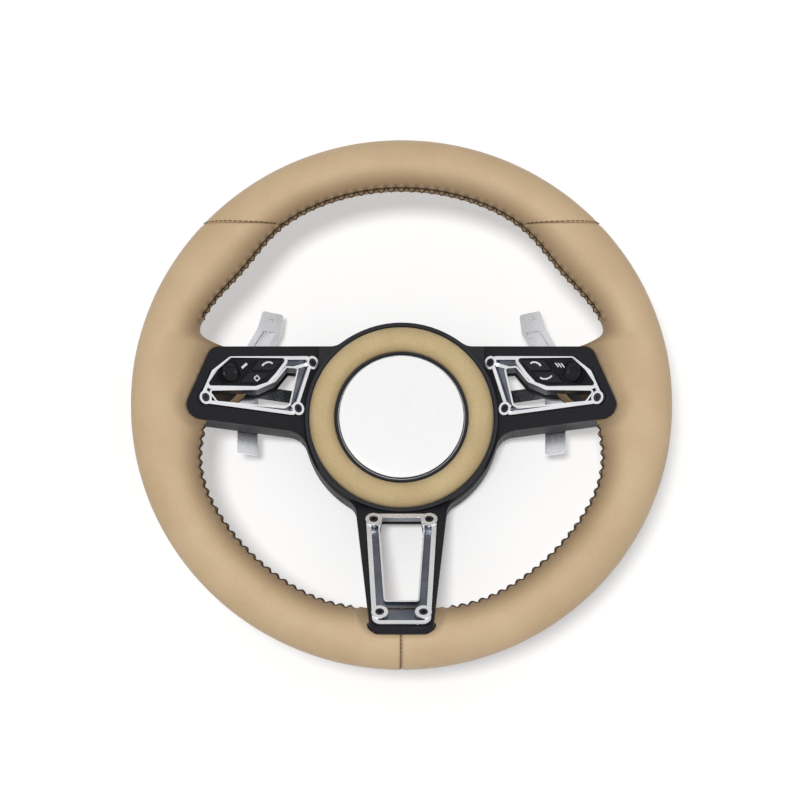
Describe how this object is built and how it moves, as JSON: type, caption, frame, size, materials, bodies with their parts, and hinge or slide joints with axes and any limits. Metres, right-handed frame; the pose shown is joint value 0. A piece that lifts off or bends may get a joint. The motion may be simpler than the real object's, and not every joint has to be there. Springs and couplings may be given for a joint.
{
  "type": "racing wheel",
  "caption": "Three-spoke racing wheel with a padded leather grip, metal trims, push-button pods, pull paddles and a sprung centre cap.",
  "frame": {"origin": "centre of the hub adapter's rear face, where the wheel bolts to its base", "axes": "+Z along the turning axis towards the driver, +Y towards 12 o'clock, +X towards 3 o'clock"},
  "size_m": [0.3592, 0.36, 0.1028],
  "materials": {
    "cast_alloy": "as-cast grey light alloy, satin",
    "foam": "moulded grip foam, matte",
    "leather": "smooth tan leather with fine grain and dark stitching",
    "black_plastic": "satin black moulded plastic with a fine texture",
    "button_plastic": "soft-touch black with white icons",
    "trim_metal": "bright satin plated metal with polished edges",
    "paddle_metal": "satin aluminium with engraved mark",
    "steel": "dark steel, lightly oiled",
    "white_plastic": "plain white, semi-gloss",
    "circuit_board": "green solder mask",
    "electronics": "black component housings"
  },
  "bodies": {
    "root": {"adapter_bolts": "steel", "armature": "cast_alloy", "connector": "electronics", "controller_board": "circuit_board", "front_cover": "black_plastic", "horn_contact": "electronics", "horn_plate": "black_plastic", "horn_springs": "steel", "hub_adapter": "cast_alloy", "hub_ring": "leather", "hub_ring_base": "black_plastic", "knurled_ring": "trim_metal", "left_encoder": "electronics", "left_paddle_bracket": "black_plastic", "left_paddle_pin": "steel", "left_paddle_spring": "steel", "left_paddle_switch": "electronics", "left_pod_board": "circuit_board", "left_pod_housing": "black_plastic", "left_pod_switches": "electronics", "left_rear_spoke_cover": "black_plastic", "left_rim_core": "foam", "left_trim": "trim_metal", "left_trim_screws": "steel", "lower_trim": "trim_metal", "lower_trim_screws": "steel", "rear_cover_screws": "steel", "rear_hub_cover": "black_plastic", "rear_lower_cover": "black_plastic", "right_encoder": "electronics", "right_paddle_bracket": "black_plastic", "right_paddle_pin": "steel", "right_paddle_spring": "steel", "right_paddle_switch": "electronics", "right_pod_board": "circuit_board", "right_pod_housing": "black_plastic", "right_pod_switches": "electronics", "right_rear_spoke_cover": "black_plastic", "right_rim_core": "foam", "right_trim": "trim_metal", "right_trim_screws": "steel", "rim_leather_left": "leather", "rim_leather_right": "leather", "rim_leather_top": "leather"},
    "left_paddle": {"left_paddle": "paddle_metal"},
    "right_paddle": {"right_paddle": "paddle_metal"},
    "left_knob": {"left_knob": "button_plastic"},
    "right_knob": {"right_knob": "button_plastic"},
    "left_upper_button": {"left_upper_button": "button_plastic"},
    "left_lower_button": {"left_lower_button": "button_plastic"},
    "right_upper_button": {"right_upper_button": "button_plastic"},
    "right_lower_button": {"right_lower_button": "button_plastic"},
    "horn_cap": {"horn_cap": "white_plastic"}
  },
  "joints": [
    {"name": "right_paddle_pull", "type": "hinge", "parent": "root", "child": "right_paddle", "pos_m": [0.065, 0.019, 0.00737], "axis": [0, -1, 0], "range_deg": [0, 4], "stiffness_Nm_per_rad": 0.8, "springref_deg": -4.58},
    {"name": "right_upper_button_press", "type": "slide", "parent": "root", "child": "right_upper_button", "axis": [0.546, 0, -0.8378], "range_m": [0, 0.001], "stiffness_N_per_m": 400, "springref_m": -0.001},
    {"name": "right_lower_button_press", "type": "slide", "parent": "root", "child": "right_lower_button", "axis": [0.546, 0, -0.8378], "range_m": [0, 0.001], "stiffness_N_per_m": 400, "springref_m": -0.001},
    {"name": "right_knob_turn", "type": "hinge", "parent": "root", "child": "right_knob", "pos_m": [0.1162, 0.0223, 0.07223], "axis": [-0.546, 0, 0.8378], "continuous": true},
    {"name": "left_paddle_pull", "type": "hinge", "parent": "root", "child": "left_paddle", "pos_m": [-0.065, 0.019, 0.00737], "axis": [0, 1, 0], "range_deg": [0, 4], "stiffness_Nm_per_rad": 0.8, "springref_deg": -4.58},
    {"name": "left_upper_button_press", "type": "slide", "parent": "root", "child": "left_upper_button", "axis": [-0.546, 0, -0.8378], "range_m": [0, 0.001], "stiffness_N_per_m": 400, "springref_m": -0.001},
    {"name": "left_lower_button_press", "type": "slide", "parent": "root", "child": "left_lower_button", "axis": [-0.546, 0, -0.8378], "range_m": [0, 0.001], "stiffness_N_per_m": 400, "springref_m": -0.001},
    {"name": "left_knob_turn", "type": "hinge", "parent": "root", "child": "left_knob", "pos_m": [-0.1162, 0.0223, 0.07223], "axis": [0.546, 0, 0.8378], "continuous": true},
    {"name": "horn_press", "type": "slide", "parent": "root", "child": "horn_cap", "axis": [0, 0, -1], "range_m": [0, 0.0015], "stiffness_N_per_m": 3000, "springref_m": -0.001, "deforming": ["horn_springs"]}
  ]
}
